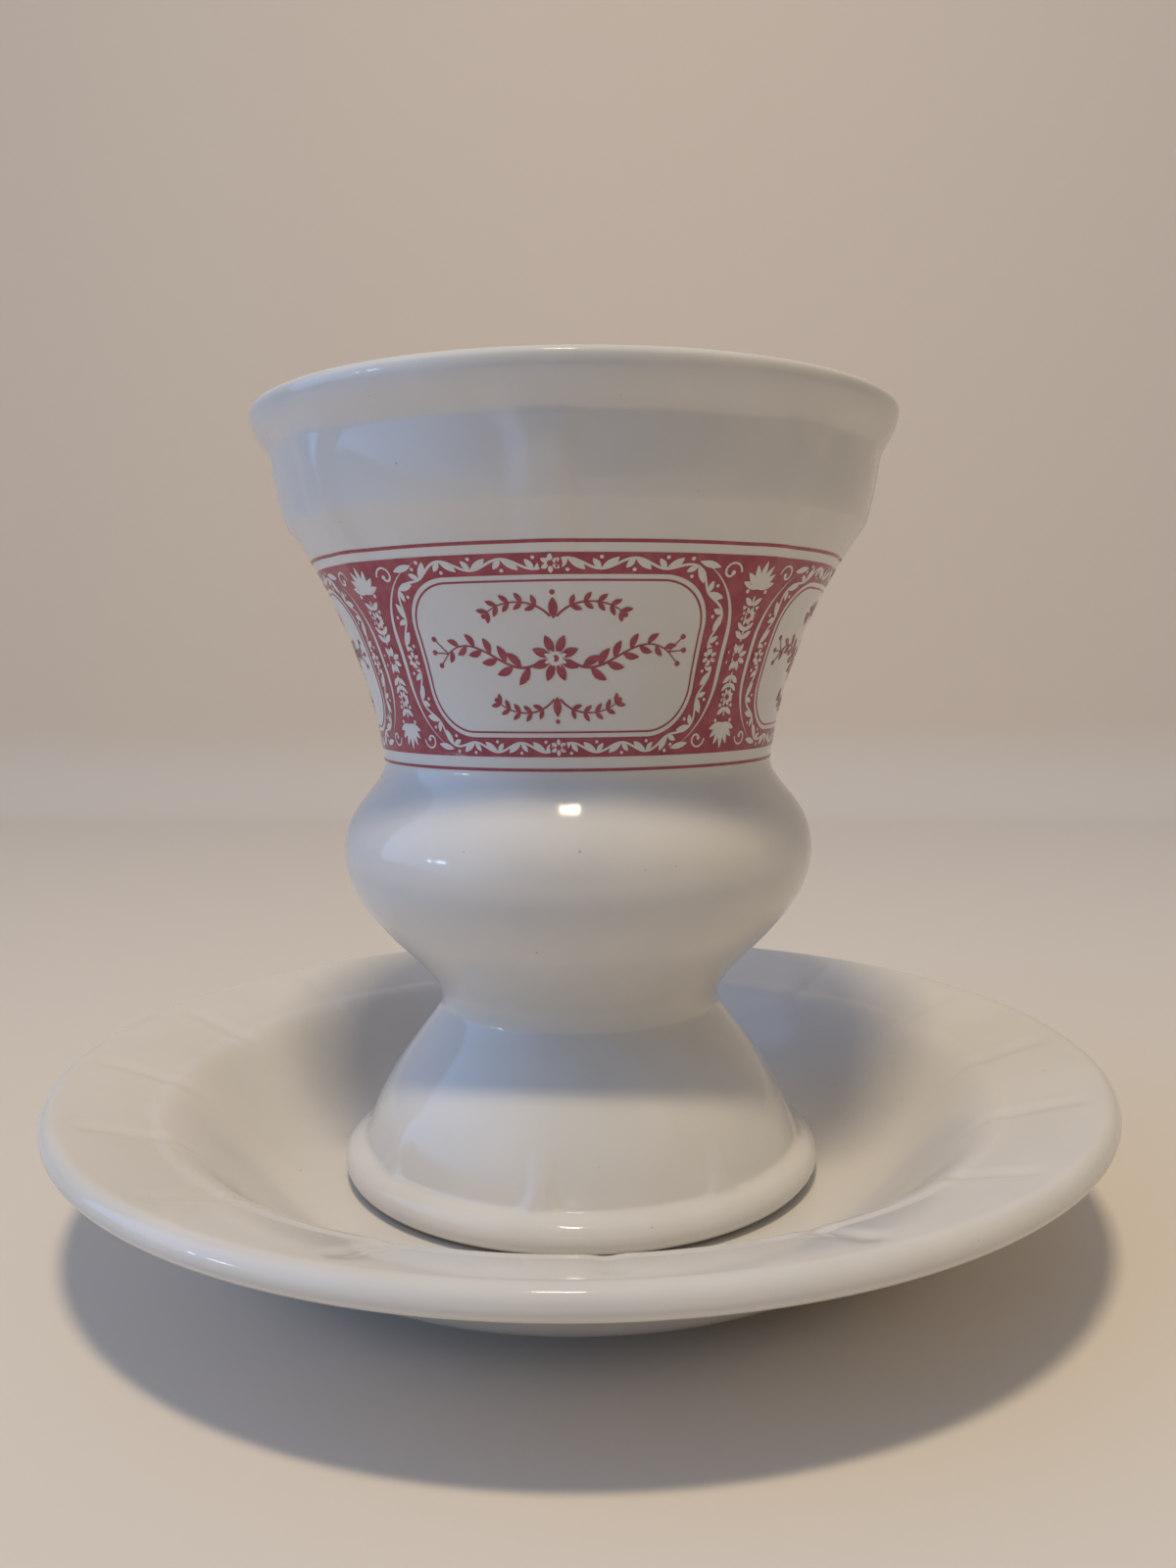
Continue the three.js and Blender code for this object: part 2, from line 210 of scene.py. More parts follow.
def make_glaze():
    """Cream glaze: a little deeper where it pools, with brown specks and a softly waving gloss."""
    material, tree, shader = new_material("cream_glaze", IOR=1.52, Coat_Weight=0.0)
    pooled = remap(tree, object_noise(tree, GLAZE_POOLS), 0.35, 0.65, 0.0, 1.0)
    cream = mix_colour(tree, pooled, GLAZE_CREAM, GLAZE_POOLED)
    both = {0: specks(tree, *SPECKS), 1: specks(tree, *FINE_SPECKS)}
    either = add_node(tree, "ShaderNodeMath", both, operation="MAXIMUM").outputs[0]
    shown = remap(tree, either, 0.0, 1.0, 0.0, SPECK_STRENGTH)
    colour = mix_colour(tree, shown, cream, SPECK_BROWN)
    tree.links.new(colour, shader.inputs["Base Color"])
    patches = object_noise(tree, GLAZE_PATCHES)
    roughness = remap(tree, patches, 0.3, 0.7, GLAZE_SMOOTH, GLAZE_DULL)
    tree.links.new(roughness, shader.inputs["Roughness"])
    swells = object_noise(tree, GLAZE_SWELLS, 1.0)
    swell = {"Height": swells, "Strength": 0.10, "Distance": SWELL_HEIGHT * MM}
    waves = add_node(tree, "ShaderNodeBump", swell).outputs["Normal"]
    tree.links.new(waves, shader.inputs["Normal"])
    return material


def make_bare_porcelain():
    """Porcelain without glaze: matt, with a fine grain."""
    material, tree, shader = new_material("bare_porcelain", Roughness=0.62)
    grain = object_noise(tree, GRAIN, 3.0)
    colour = mix_colour(tree, grain, BARE_PORCELAIN, tuple(GRAIN_SHADE * c for c in BARE_PORCELAIN))
    tree.links.new(colour, shader.inputs["Base Color"])
    rub = {"Height": grain, "Strength": 0.3, "Distance": GRAIN_HEIGHT * MM}
    tree.links.new(add_node(tree, "ShaderNodeBump", rub).outputs["Normal"], shader.inputs["Normal"])
    return material


glaze, bare_porcelain = make_glaze(), make_bare_porcelain()

lip_radius = SAUCER_RADIUS - LIP_THICKNESS / 2
lip = arc(lip_radius, SAUCER_LIP, LIP_THICKNESS / 2, LIP_THICKNESS / 2, -90, 90, 16)
well_edge = at(*WELL_EDGE)
rim = sweep(lip[-1], lip[-1].lerp(well_edge, 0.5) + at(0, RIM_CROWN), well_edge, 18)
well_floor = at(WELL_RADIUS, WELL_HEIGHT)
over_well = well_edge.lerp(at(WELL_RADIUS, WELL_EDGE[1]), WELL_HOLDS[0])
along_floor = well_floor.lerp(at(WELL_EDGE[0], WELL_HEIGHT), WELL_HOLDS[1])
well = interpolate_bezier(well_edge, over_well, along_floor, well_floor, 26)
ring_in, ring_out = FOOT_RING
ring_side = at(ring_out + RING_TAPER, SAUCER_BASE)
ring_foot = [
    *arc(ring_in + RING_EDGE, RING_EDGE, RING_EDGE, RING_EDGE, 180, 270, 5),
    *arc(ring_out - RING_EDGE, RING_EDGE, RING_EDGE, RING_EDGE, 270, 360, 5),
]
recess = [at(0, SAUCER_BASE), *(at(ring_in * i / 6 - RING_TAPER, SAUCER_BASE) for i in range(1, 7))]
under_well = at(UNDERSIDE_TURN[0], SAUCER_BASE)
belly = interpolate_bezier(ring_side, under_well, at(*UNDERSIDE_TURN), lip[0], 26)
floor = [well_floor.lerp(at(0, WELL_HEIGHT), i / 8) for i in range(9)]

bm = bmesh.new()
for vert in spin_panel(bm, rim + well[1:], SAUCER_FLUTES):
    radius, angle = round_axis(vert.co)
    from_groove = from_nearest(radius, angle - SAUCER_TURN, SAUCER_FLUTES)
    grooved = smoothstep(radius, WELL_EDGE[0] - GROOVE_FADE_IN, WELL_EDGE[0])
    grooved *= 1 - smoothstep(radius, *GROOVE_FADE_OUT)
    vert.co.z -= GROOVE_DEPTH * grooved * (1 - smoothstep(from_groove, 0, GROOVE_REACH)) * MM
spin_panel(bm, floor, SAUCER_FLUTES)
spin_panel(bm, recess + ring_foot + belly + lip[1:], SAUCER_FLUTES)
repeat_panel(bm, SAUCER_FLUTES)
for face in bm.faces:
    face.material_index = int(face.calc_center_median().z < RING_BARE * MM)
finish_piece(bm, "saucer_dish", "saucer", ["saucer"], [glaze, bare_porcelain])

# Cup foot
# A hollow porcelain bell on a rolled edge, pressed by itself, with eight panels that close over the
# roll and fade out upwards. It is stuck to the bowl with slip before firing, a little out of line
# with the bowl's ribs, and stands on a flat ring that is wiped bare.
SEAT_GAP = 0.3
CUP_STAND = WELL_HEIGHT + SEAT_GAP
FOOT_RADIUS, FOOT_ROLL, ROLL_WIDTH, ROLL_END = 36.35, 5.05, 2.6, 76
ROLL_CREASE, BELL, BELL_LEAN, BELL_HOLDS = (33.6, 5.2), (33.4, 5.9), -17.5, (0.48, 0.113)
WAIST, WAIST_LEAN = (21.3, 25.7), -10
FOOT_TOP_THICKNESS, FOOT_WALL, FOOT_FLAT, FOOT_BARE = 5.5, 4.6, 2.4, 0.25
CUP_RIBS, FOOT_RIB_WIDTH, FOOT_TURN = 8, 1.6, math.radians(-5)
FOOT_PANEL_DEPTH, FOOT_PANEL_BOTTOM, FOOT_PANEL_FADE = 0.45, 4.3, (5, 14)
FOOT_PANEL_SLOPE, FOOT_PANEL_CORNER = 1.2, 3.6


def cup_at(radius, height):
    """A point of the cup's profile, at a height above the underside of its foot."""
    return at(radius, height + CUP_STAND)


def bend(low, high, holds, steps, low_lean=0, high_lean=0):
    """A profile between two places that leans outwards at its ends by the angles given."""
    rise = high[1] - low[1]
    pull, push = (rise * hold for hold in holds)
    after = low[0] + pull * math.tan(math.radians(low_lean)), low[1] + pull
    before = high[0] - push * math.tan(math.radians(high_lean)), high[1] - push
    return interpolate_bezier(*(cup_at(*point) for point in (low, after, before, high)), steps)


roll_radius = FOOT_RADIUS - ROLL_WIDTH
roll = arc(roll_radius, CUP_STAND + FOOT_ROLL / 2, ROLL_WIDTH, FOOT_ROLL / 2, -90, ROLL_END, 18)
bell = bend(BELL, WAIST, BELL_HOLDS, 48, BELL_LEAN, WAIST_LEAN)
crease = sweep(roll[-1], cup_at(*ROLL_CREASE), bell[0], 12)
hollow_top = WAIST[1] - FOOT_TOP_THICKNESS
hollow = interpolate_bezier(
    cup_at(0, hollow_top),
    cup_at(WAIST[0] - FOOT_WALL / 2, hollow_top),
    cup_at(roll_radius - FOOT_WALL, hollow_top / 2),
    cup_at(roll_radius - FOOT_FLAT, 0),
    28,
)
foot_cap = [bell[-1].lerp(cup_at(0, WAIST[1]), i / 4) for i in range(5)]

bm = bmesh.new()
for vert in spin_panel(bm, roll + crease[1:] + bell[1:], CUP_RIBS):
    radius, angle = round_axis(vert.co)
    height = vert.co.z / MM - CUP_STAND
    from_rib = from_nearest(radius, angle - FOOT_TURN, CUP_RIBS, FOOT_RIB_WIDTH)
    from_end = height - FOOT_PANEL_BOTTOM
    depth = FOOT_PANEL_DEPTH * (1 - smoothstep(height, *FOOT_PANEL_FADE))
    depth *= panel_depth(from_rib, from_end, FOOT_PANEL_SLOPE, FOOT_PANEL_CORNER)
    vert.co.xy *= 1 - depth / radius
spin_panel(bm, foot_cap, CUP_RIBS)
spin_panel(bm, [*hollow, roll[0]], CUP_RIBS)
repeat_panel(bm, CUP_RIBS)
for face in bm.faces:
    face.material_index = int(face.calc_center_median().z < (CUP_STAND + FOOT_BARE) * MM)
finish_piece(bm, "foot_bell", "cup", ["cup_foot"], [glaze, bare_porcelain])

# Cup bowl
# One porcelain wall from the waist up: a round bulge, a narrow neck, and a flare under an upright
# collar and a turned-out lip. Eight ribs with sunk panels between them are moulded into the collar
# and run out downwards, and the whole bowl is glazed with the foot.
BULGE, NECK, SHOULDER = (35.3, 49.5), (29.05, 62.8), (42.5, 96.2)
COLLAR, LIP = (44.7, 105.8), (47.05, 111.7)
SHOULDER_LEAN, NECK_LEAN = 37, 6
LOWER_HOLDS, UPPER_HOLDS, FLARE_HOLDS = (0.27, 0.48), (0.53, 0.29), (0.28, 0.34)
COLLAR_HOLDS, LIP_HOLDS = (0.14, 0.06), (0.23, 0.36)
CUP_WALL, LIP_WIDTH, LIP_CROWN, FLOOR_THICKNESS = 4.4, 3.6, 1.2, 7
BOWL_FLOOR = WAIST[1] + FLOOR_THICKNESS
BOWL_RIB_WIDTH, PANEL_TOP, PANEL_DEPTH, PANEL_FADE = 2.4, 109.2, 0.5, (81, 94)
PANEL_SLOPE, PANEL_CORNER, INSIDE_STEP = 4, 7, 3


def bowl_sunk(radius, height, angle):
    """How deep the bowl's moulded face lies behind its plain profile, in millimetres."""
    from_rib = from_nearest(radius, angle, CUP_RIBS, BOWL_RIB_WIDTH)
    sunk = panel_depth(from_rib, PANEL_TOP - height, PANEL_SLOPE, PANEL_CORNER)
    return PANEL_DEPTH * smoothstep(height, *PANEL_FADE) * sunk


bowl_face = [
    *bend(WAIST, BULGE, LOWER_HOLDS, 36, WAIST_LEAN),
    *bend(BULGE, NECK, UPPER_HOLDS, 24)[1:],
    *bend(NECK, SHOULDER, FLARE_HOLDS, 52, NECK_LEAN, SHOULDER_LEAN)[1:],
    *bend(SHOULDER, COLLAR, COLLAR_HOLDS, 20, SHOULDER_LEAN)[1:],
    *bend(COLLAR, LIP, LIP_HOLDS, 16)[1:],
]
brim = arc(LIP[0] - LIP_WIDTH / 2, LIP[1] + CUP_STAND, LIP_WIDTH / 2, LIP_CROWN, 0, 180, 14)
inside = []
for point in reversed(bowl_face[::INSIDE_STEP]):
    height = point.z / MM - CUP_STAND
    if BOWL_FLOOR + CUP_WALL < height < LIP[1]:
        thinned = smoothstep(height, COLLAR[1], LIP[1]) * (CUP_WALL - LIP_WIDTH)
        inside.append(point + Vector((0, CUP_WALL - thinned, 0)) * MM)
inside_corner = cup_at(-inside[-1].y / MM - CUP_WALL, BOWL_FLOOR)
basin = sweep(inside[-1], inside_corner, cup_at(0, BOWL_FLOOR), 24)
bowl_base = [cup_at(0, WAIST[1]).lerp(bowl_face[0], i / 4) for i in range(5)]

bm = bmesh.new()
for vert in spin_panel(bm, bowl_face, CUP_RIBS):
    radius, angle = round_axis(vert.co)
    vert.co.xy *= 1 - bowl_sunk(radius, vert.co.z / MM - CUP_STAND, angle) / radius
spin_panel(bm, bowl_base, CUP_RIBS)
spin_panel(bm, brim + inside + basin[1:], CUP_RIBS)
repeat_panel(bm, CUP_RIBS)
finish_piece(bm, "bowl_wall", "cup", ["cup_bowl"], [glaze])

# Pinstripes
# Two thin rose lines that close the printed band below and above, drawn round the bowl with a brush
# on a turning wheel and fired on the glaze.
ROSE_INK, ROSE_THIN = (0.33, 0.048, 0.072), (0.42, 0.085, 0.105)
LINE_HEIGHTS, LINE_WIDTH = {"lower": 63.1, "upper": 91.6}, 0.4
INK_LIFT, INK_THICKNESS = 0.03, 0.02
INK_CLOUDS, INK_PATCHES, INK_SMOOTH, INK_DULL = 520, 700, 0.14, 0.24
face_heights = [point.z / MM - CUP_STAND for point in bowl_face]
face_radii = [-point.y / MM for point in bowl_face]


def on_bowl(angle, height, lift):
    """The point that lies so far over the bowl's moulded face, in metres."""
    above = bisect_left(face_heights, height)
    low, high = face_heights[above - 1], face_heights[above]
    share = (height - low) / (high - low)
    radius = face_radii[above - 1] + share * (face_radii[above] - face_radii[above - 1])
    out = radius - bowl_sunk(radius, height, angle) + lift
    return Vector((out * math.sin(angle), -out * math.cos(angle), height + CUP_STAND)) * MM


def make_rose_ink():
    """Rose ceramic ink, a little thinner in clouds, and less glossy than the glaze under it."""
    material, tree, shader = new_material("rose_ink", IOR=1.5)
    cloud = remap(tree, object_noise(tree, INK_CLOUDS, 4.0), 0.42, 0.72, 0.0, 1.0)
    colour = mix_colour(tree, cloud, ROSE_INK, ROSE_THIN)
    tree.links.new(colour, shader.inputs["Base Color"])
    roughness = remap(tree, object_noise(tree, INK_PATCHES), 0.3, 0.7, INK_SMOOTH, INK_DULL)
    tree.links.new(roughness, shader.inputs["Roughness"])
    return material


rose_ink = make_rose_ink()
STRIPE_GUIDE = 30
for place, height in LINE_HEIGHTS.items():
    low, high = height - LINE_WIDTH / 2, height + LINE_WIDTH / 2
    under, top = INK_LIFT, INK_LIFT + INK_THICKNESS
    section = [(under, low), (top, low), (top, height), (top, high), (under, high), (under, low)]
    bm = bmesh.new()
    for vert in spin_panel(bm, [at(STRIPE_GUIDE + lift, up) for lift, up in section], CUP_RIBS):
        radius, angle = round_axis(vert.co)
        vert.co = on_bowl(angle, vert.co.z / MM, radius - STRIPE_GUIDE)
    repeat_panel(bm, CUP_RIBS)
    finish_piece(bm, f"pinstripe_{place}", "cup", [f"{place}_line"], [rose_ink])

# Printed band
# Four rose transfers side by side round the neck, each a window in a leafy frame with half a pillar
# at both ends. A transfer is drawn flat, in ink and reserved white, slid on wet and fired on.
BAND_MIDDLE, BAND_HALF, WRAP_RADIUS = 77.55, 12.75, 32.2
SEAM = WRAP_RADIUS * math.pi / 4
WINDOW, FRAME_EDGE = (18.9, 10.2, 6.5), (22.3, BAND_HALF, 9.85)
PILLAR_EDGE, PILLAR_CORNER = 23.0, 10.55
HAIRLINE = (18.38, 9.62, 6.0), (18.14, 9.38, 5.76)
INK, WHITE = 0, 1
STEM_LEVEL, LEAF_LEVEL, BACKING_LEVEL, FLOWER_LEVEL, HEART_LEVEL = 0.055, 0.07, 0.076, 0.085, 0.1
CORNER_SEGMENTS, LONG_SIDE_CUTS, SHORT_SIDE_CUTS = 64, 27, 9
VINE_WAVES, VINE_SWING, VINE_STEPS, VINE_WIDTH = 16, 0.62, 320, 0.3
PILLAR_FLOWERS = (0, 1.9), (5.3, 1.25), (-5.3, 1.25)
BRANCH = (2.0, -0.4), (6.5, -3.6), (9.5, 4.4), (14.4, 0.7)
BERRY_ROOT, BERRIES = (13.9, 0.7), ((1.9, 2.2), (0.2, 2.6), (-1.5, 2.0))
SPRIG = (0.4, 5.2), (2.6, 7.9), (6.8, 7.2), (8.4, 5.3)


def colour_new(bm, colour):
    """Gives the faces made since the last call their colour."""
    for face in bm.faces:
        if not face.tag:
            face.tag, face.material_index = True, colour


def rounded_loop(bm, half_width, half_height, corner):
    """The edges of a rectangle with round corners, short enough to follow the bowl."""
    loop = bmesh.ops.create_circle(bm, segments=CORNER_SEGMENTS, radius=corner)["verts"]
    half_step = Matrix.Rotation(math.pi / CORNER_SEGMENTS, 3, "Z")
    bmesh.ops.rotate(bm, cent=(0, 0, 0), matrix=half_step, verts=loop)
    for vert in loop:
        vert.co.x += math.copysign(half_width - corner, vert.co.x)
        vert.co.y += math.copysign(half_height - corner, vert.co.y)
    sides = [edge for vert in loop for edge in vert.link_edges if edge.calc_length() > 2]
    for edge in set(sides):
        across = abs(edge.verts[0].co.x - edge.verts[1].co.x) > 1
        cuts = LONG_SIDE_CUTS if across else SHORT_SIDE_CUTS
        bmesh.ops.subdivide_edges(bm, edges=[edge], cuts=cuts)


def frame_ring(bm, outer, inner, level, rows):
    """A frame between two rectangles with round corners."""
    rounded_loop(bm, *outer)
    rounded_loop(bm, *inner)
    wires = [edge for edge in bm.edges if edge.is_wire]
    bmesh.ops.translate(bm, vec=(0, 0, level), verts=list({v for edge in wires for v in edge.verts}))
    rungs = bmesh.ops.bridge_loops(bm, edges=wires)["edges"]
    if rows > 1:
        bmesh.ops.subdivide_edges(bm, edges=rungs, cuts=rows - 1, use_grid_fill=True)


def half_pillar(bm, hand, level):
    """The ground from the frame's outer line to the seam, wider where the line's corners turn away."""
    grid = bmesh.ops.create_grid(bm, x_segments=14, y_segments=48, size=1)["verts"]
    for vert in grid:
        past = max(abs(vert.co.y) * BAND_HALF - (BAND_HALF - PILLAR_CORNER), 0)
        edge = PILLAR_EDGE - PILLAR_CORNER + math.sqrt(max(PILLAR_CORNER**2 - past**2, 0))
        share = (vert.co.x + 1) / 2
        vert.co = hand * (edge + share * (SEAM - edge)), vert.co.y * BAND_HALF, level
    if hand < 0:
        faces = list({face for vert in grid for face in vert.link_faces})
        bmesh.ops.reverse_faces(bm, faces=faces)


def leaf(bm, root, turn, length, width, level, bow=0.0):
    """A pointed leaf that grows from its root in the direction given, in degrees."""
    outline = bmesh.ops.create_circle(bm, cap_ends=True, segments=14, radius=1)["verts"]
    for vert in outline:
        swell = max(1 - vert.co.x**2, 0)
        across = vert.co.y * math.sqrt(swell) * width / 2 + bow * swell
        vert.co = (vert.co.x + 1) * length / 2, across, 0
    place = Matrix.Translation((root[0], root[1], level)) @ Matrix.Rotation(math.radians(turn), 4, "Z")
    bmesh.ops.transform(bm, matrix=place, verts=outline)


def dot(bm, centre, radius, level):
    """A round bead."""
    outline = bmesh.ops.create_circle(bm, cap_ends=True, segments=12, radius=radius)["verts"]
    bmesh.ops.translate(bm, vec=(centre[0], centre[1], level), verts=outline)


def stem(bm, path, start_width, end_width, level):
    """A stroke along a path that changes its width from one end to the other."""
    last = len(path) - 1
    strip = bmesh.ops.create_grid(bm, x_segments=last, y_segments=1, size=1)["verts"]
    for vert in strip:
        i = round((vert.co.x + 1) / 2 * last)
        along = (path[min(i + 1, last)] - path[max(i - 1, 0)]).normalized()
        half = (start_width + (end_width - start_width) * i / last) / 2 * vert.co.y
        vert.co = path[i].x - along.y * half, path[i].y + along.x * half, level


def curl(bm, centre, radius, start, turns, level, width):
    """A stroke that winds inwards and ends in a bead."""
    steps = 26
    path = []
    for i in range(steps + 1):
        angle = math.radians(start) + 2 * math.pi * turns * i / steps
        reach = radius * (1 - 0.78 * i / steps)
        path.append(Vector((centre[0] + reach * math.cos(angle), centre[1] + reach * math.sin(angle))))
    stem(bm, path, 0.7 * width, width, level)
    dot(bm, path[-1], 0.95 * width, LEAF_LEVEL)


def rosette(bm, centre, radius, petals, petal_colour, heart_colour):
    """A round flower of equal petals with a bead in its heart."""
    for i in range(petals):
        turn = 360 * (i + 0.5) / petals
        across, up = math.cos(math.radians(turn)), math.sin(math.radians(turn))
        root = centre[0] + 0.2 * radius * across, centre[1] + 0.2 * radius * up
        leaf(bm, root, turn, 0.8 * radius, 2.9 * radius / petals, FLOWER_LEVEL)
    colour_new(bm, petal_colour)
    dot(bm, centre, 0.3 * radius, HEART_LEVEL)
    colour_new(bm, heart_colour)


def vine_point(share):
    """A point of the wavy line round the frame, its direction, and which way it swings there."""
    half_width, half_height, corner = (sum(pair) / 2 for pair in zip(WINDOW, FRAME_EDGE))
    lengths = [half_width - corner, corner * math.pi / 2, 2 * (half_height - corner), corner * math.pi / 2]
    lengths += [2 * (half_width - corner), *lengths[1:4], half_width - corner]
    left = share % 1 * sum(lengths)
    point, heading = Vector((0, half_height)), 0.0
    for i, length in enumerate(lengths):
        done = min(left, length)
        if i % 2:
            turn = -done / corner
            centre = point + Vector((math.sin(heading), -math.cos(heading))) * corner
            point = centre + Matrix.Rotation(turn, 2) @ (point - centre)
            heading += turn
        else:
            point = point + Vector((math.cos(heading), math.sin(heading))) * done
        left -= done
        if left <= 0:
            break
    swing = math.sin(2 * math.pi * VINE_WAVES * share)
    side = Vector((-math.sin(heading), math.cos(heading)))
    return point + side * VINE_SWING * swing, math.degrees(heading), swing, side


def heading_at(path, i):
    """The direction of a path at one of its points, in degrees."""
    along = path[i + 1] - path[i - 1]
    return math.degrees(math.atan2(along.y, along.x))


drawing = bmesh.new()
frame_ring(drawing, FRAME_EDGE, WINDOW, INK_LIFT, 3)
for hand in (-1, 1):
    half_pillar(drawing, hand, INK_LIFT)
frame_ring(drawing, *HAIRLINE, INK_LIFT, 1)
colour_new(drawing, INK)

vine = [vine_point(i / VINE_STEPS)[0] for i in range(VINE_STEPS + 1)]
stem(drawing, vine, VINE_WIDTH, VINE_WIDTH, STEM_LEVEL)
for i in range(2 * VINE_WAVES):
    share = (i + 0.5) / (2 * VINE_WAVES)
    point, heading, swing, side = vine_point(share)
    lean = -58 if swing > 0 else 58
    leaf(drawing, point, heading + lean * 0.62, 2.3, 0.95, LEAF_LEVEL, 0.12 if swing > 0 else -0.12)
    leaf(drawing, point, heading + 180 - lean * 0.9, 1.5, 0.7, LEAF_LEVEL)
    dot(drawing, point - side * 1.35 * swing, 0.22, LEAF_LEVEL)
colour_new(drawing, WHITE)
frame_middle = (WINDOW[0] + FRAME_EDGE[0]) / 2, (WINDOW[1] + FRAME_EDGE[1]) / 2
for x, y in ((0, 1), (0, -1), (1, 0), (-1, 0)):
    centre = x * frame_middle[0], y * frame_middle[1]
    dot(drawing, centre, 1.3, BACKING_LEVEL)
    colour_new(drawing, INK)
    rosette(drawing, centre, 1.15, 6, WHITE, INK)

stem(drawing, [Vector((SEAM, -7.8 + 0.65 * i)) for i in range(25)], 0.26, 0.26, STEM_LEVEL)
for up in (-1, 1):
    for i in range(5):
        for hand in (-1, 1):
            root = SEAM, up * (2.35 + 1.05 * i)
            leaf(drawing, root, up * (90 - 52 * hand), 1.75, 0.72, LEAF_LEVEL)
    for i in range(7):
        fan = 90 + 24 * (i - 3)
        leaf(drawing, (SEAM, up * 8.7), up * fan, 3.5 - 0.28 * abs(i - 3), 0.86, LEAF_LEVEL)
    for hand in (-1, 1):
        start = 180 if hand > 0 else 0
        curl(drawing, (SEAM + hand * 4.6, up * 10.7), 1.35, start, -0.95 * hand * up, STEM_LEVEL, 0.3)
        leaf(drawing, (SEAM + hand * 6.2, up * 11.2), 90 - hand * (90 - 12 * up), 2.9, 0.85, LEAF_LEVEL)
        dot(drawing, (SEAM + hand * 9.9, up * 12.1), 0.24, LEAF_LEVEL)
        dot(drawing, (SEAM + hand * 1.5, up * 8.4), 0.26, LEAF_LEVEL)
colour_new(drawing, WHITE)
for y, size in PILLAR_FLOWERS:
    dot(drawing, (SEAM, y), 1.08 * size, BACKING_LEVEL)
    colour_new(drawing, INK)
    rosette(drawing, (SEAM, y), size, 8, WHITE, INK)

for hand in (-1, 1):
    branch = interpolate_bezier(*(Vector((hand * x, y)) for x, y in BRANCH), 48)
    stem(drawing, branch, 0.34, 0.16, STEM_LEVEL)
    for i in range(5, 46, 4):
        lean = 42 if (i // 4) % 2 else -42
        turn, length, width = heading_at(branch, i) + lean, 2.9 - 0.028 * i, 1.15 - 0.01 * i
        leaf(drawing, branch[i], turn, length, width, LEAF_LEVEL, 0.004 * lean)
    for lift, reach in BERRIES:
        tip = Vector((hand * (BERRY_ROOT[0] + reach), BERRY_ROOT[1] + lift))
        stem(drawing, [branch[-1].lerp(tip, i / 6) for i in range(7)], 0.16, 0.12, STEM_LEVEL)
        dot(drawing, tip, 0.34, LEAF_LEVEL)
    for up in (-1, 1):
        sprig = interpolate_bezier(*(Vector((hand * x, up * y)) for x, y in SPRIG), 30)
        stem(drawing, sprig, 0.26, 0.12, STEM_LEVEL)
        for i in range(6, 28, 5):
            for lean in (-46, 46):
                leaf(drawing, sprig[i], heading_at(sprig, i) + lean, 1.45, 0.62, LEAF_LEVEL)
        dot(drawing, sprig[-1], 0.3, LEAF_LEVEL)
for up in (-1, 1):
    leaf(drawing, (0, 4.9 * up), 90 * up, 2.6, 1.1, LEAF_LEVEL)
    dot(drawing, (0, 8.1 * up), 0.3, LEAF_LEVEL)
rosette(drawing, (0, 0), 3.1, 8, INK, WHITE)
rosette(drawing, (0, 0), 1.5, 8, WHITE, INK)

grown = bmesh.ops.extrude_face_region(drawing, geom=drawing.faces[:])["geom"]
tops = [item for item in grown if isinstance(item, bmesh.types.BMVert)]
bmesh.ops.translate(drawing, vec=(0, 0, INK_THICKNESS), verts=tops)
bmesh.ops.recalc_face_normals(drawing, faces=drawing.faces)
for turn, side in enumerate(("front", "right", "back", "left")):
    bm = drawing.copy()
    for vert in bm.verts:
        angle = vert.co.x / WRAP_RADIUS + turn * math.pi / 2
        vert.co = on_bowl(angle, vert.co.y + BAND_MIDDLE, vert.co.z)
    finish_piece(bm, f"transfer_{side}", "cup", [f"band_print_{side}"], [rose_ink, glaze])
drawing.free()

# Table and wall
# A pale table top against a plain warm wall, both painted. They are one sheet with a rounded joint,
# which stands under and behind the saucer and isn't part of the object.
TABLE_PALE, WALL_WARM = (0.80, 0.73, 0.64), (0.84, 0.73, 0.60)
WALL_BACK, TABLE_FRONT, TABLE_HALF_WIDTH = 0.52, -0.30, 2.5
WALL_HEIGHT, JOINT_RADIUS, TOUCHING = 2, 0.05, 1e-6

bm = bmesh.new()
bmesh.ops.create_grid(bm, x_segments=1, y_segments=1, size=1)
for vert in bm.verts:
    vert.co = vert.co.x * TABLE_HALF_WIDTH, WALL_BACK if vert.co.y > 0 else TABLE_FRONT, 0
back = [edge for edge in bm.edges if all(v.co.y > 0 for v in edge.verts)]
wall = bmesh.ops.extrude_edge_only(bm, edges=back)["geom"]
tops = [item for item in wall if isinstance(item, bmesh.types.BMVert)]
bmesh.ops.translate(bm, vec=(0, 0, WALL_HEIGHT), verts=tops)
at_wall = [edge for edge in bm.edges if all(abs(v.co.y - WALL_BACK) < TOUCHING for v in edge.verts)]
joint = [edge for edge in at_wall if all(v.co.z < TOUCHING for v in edge.verts)]
bmesh.ops.bevel(
    bm, geom=joint, offset=JOINT_RADIUS, affect="EDGES", segments=12, profile=0.5, material=-1
)
for face in bm.faces:
    face.smooth = True

paint, tree, shader = new_material("pale_paint", Roughness=0.55)
place = add_node(tree, "ShaderNodeSeparateXYZ", {"Vector": object_place(tree)}).outputs
up_wall = remap(tree, place["Z"], 0.0, JOINT_RADIUS, 0.0, 1.0)
tree.links.new(mix_colour(tree, up_wall, TABLE_PALE, WALL_WARM), shader.inputs["Base Color"])
table_and_wall = make_object(bm, "table_and_wall", [paint])

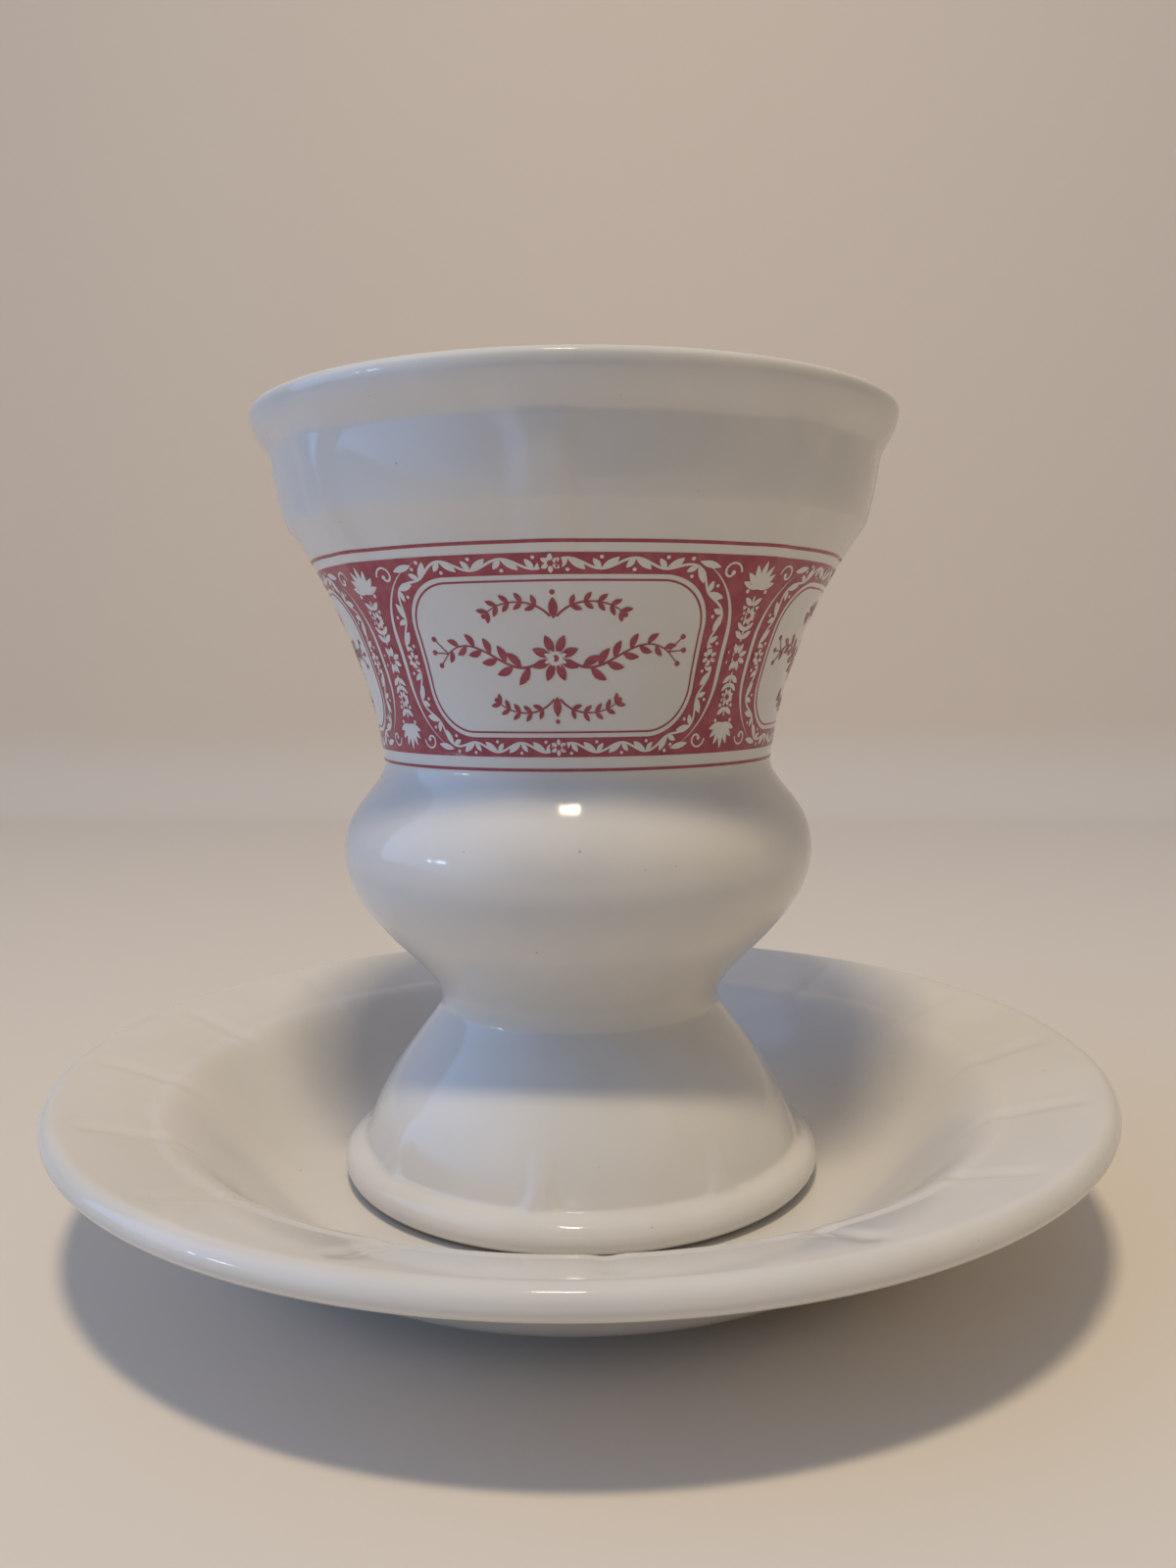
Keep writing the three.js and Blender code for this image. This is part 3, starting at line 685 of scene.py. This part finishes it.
# Light and camera
# A warm lamp over the cup in a dim room, whose soft light leaves the gloss to a thin tube and its
# edge, with the blue glow and two panes of a window on the left. The camera looks on from just above
# the saucer, and past the table and wall it sees an even warm room.
ROOM_DIM, ROOM_WARM, CEILING_PALE = (0.05, 0.05, 0.055), (0.44, 0.37, 0.28), (0.31, 0.355, 0.44)
WINDOW_GLOW, ROOM_SEEN = (0.66, 1.05, 1.9), (0.52, 0.455, 0.39)
LAMP_WARM, PANE_BLUE, LIT_HEIGHT = (1.0, 0.84, 0.60), (0.55, 0.80, 1.0), 0.06
CAMERA_DISTANCE, CAMERA_HEIGHT, CAMERA_LENS, SENSOR_WIDTH = 0.1935, 0.0834, 29.16, 36
CAMERA_SIDE, CAMERA_HEADING = math.radians(4.75), math.radians(4.30)
CAMERA_PITCH, CAMERA_ROLL = math.radians(5.39), math.radians(-0.52)


def soft_lamp(name, place, size, power, colour, mirrored=True):
    """A flat lamp that faces the cup, and shows in its gloss or not."""
    lamp = bpy.data.lights.new(name, "AREA")
    lamp.shape, lamp.size, lamp.size_y = "RECTANGLE", *size
    lamp.energy, lamp.color = power, colour
    holder = bpy.data.objects.new(name, lamp)
    holder.location = place
    to_cup = Vector((0, 0, LIT_HEIGHT)) - Vector(place)
    holder.rotation_euler = to_cup.to_track_quat("-Z", "Y").to_euler()
    holder.visible_glossy = mirrored
    bpy.context.scene.collection.objects.link(holder)


soft_lamp("ceiling_lamp", (-0.01, -0.31, 0.955), (0.13, 0.08), 3.5, LAMP_WARM, mirrored=False)
soft_lamp("lamp_tube", (-0.025, -0.31, 0.953), (0.105, 0.018), 0.85, LAMP_WARM)
soft_lamp("lamp_edge", (-0.025, -0.28, 0.963), (0.105, 0.006), 0.15, LAMP_WARM)
soft_lamp("window_pane", (-1.02, -0.55, 0.19), (0.10, 0.05), 0.30, PANE_BLUE)
soft_lamp("window_side_pane", (-1.08, -0.43, 0.19), (0.04, 0.05), 0.10, PANE_BLUE)

world = bpy.data.worlds.new("dim_room")
bpy.context.scene.world = world
world.use_nodes = True
tree = world.node_tree
direction = add_node(tree, "ShaderNodeTexCoord").outputs["Generated"]
towards = add_node(tree, "ShaderNodeSeparateXYZ", {"Vector": direction}).outputs
glow = mix_colour(tree, remap(tree, towards["X"], 0.1, 1.0, 0.0, 1.0), ROOM_DIM, ROOM_WARM)
glow = mix_colour(tree, remap(tree, towards["Z"], 0.45, 1.0, 0.0, 1.0), glow, CEILING_PALE)
glow = mix_colour(tree, remap(tree, towards["X"], -0.3, -1.0, 0.0, 1.0), glow, WINDOW_GLOW)
seen = add_node(tree, "ShaderNodeLightPath").outputs["Is Camera Ray"]
glow = mix_colour(tree, seen, glow, ROOM_SEEN)
tree.links.new(glow, tree.nodes["Background"].inputs["Color"])

view = bpy.data.cameras.new("photo_view")
view.lens, view.sensor_width = CAMERA_LENS, SENSOR_WIDTH
camera = bpy.data.objects.new("photo_view", view)
side = Vector((math.sin(CAMERA_SIDE), -math.cos(CAMERA_SIDE), 0)) * CAMERA_DISTANCE
turned = Matrix.Rotation(CAMERA_HEADING, 4, "Z") @ Matrix.Rotation(math.pi / 2 - CAMERA_PITCH, 4, "X")
turned = turned @ Matrix.Rotation(CAMERA_ROLL, 4, "Z")
camera.matrix_world = Matrix.Translation(side + Vector((0, 0, CAMERA_HEIGHT))) @ turned
bpy.context.scene.collection.objects.link(camera)
bpy.context.scene.camera = camera
bpy.context.scene.view_settings.view_transform = "Standard"
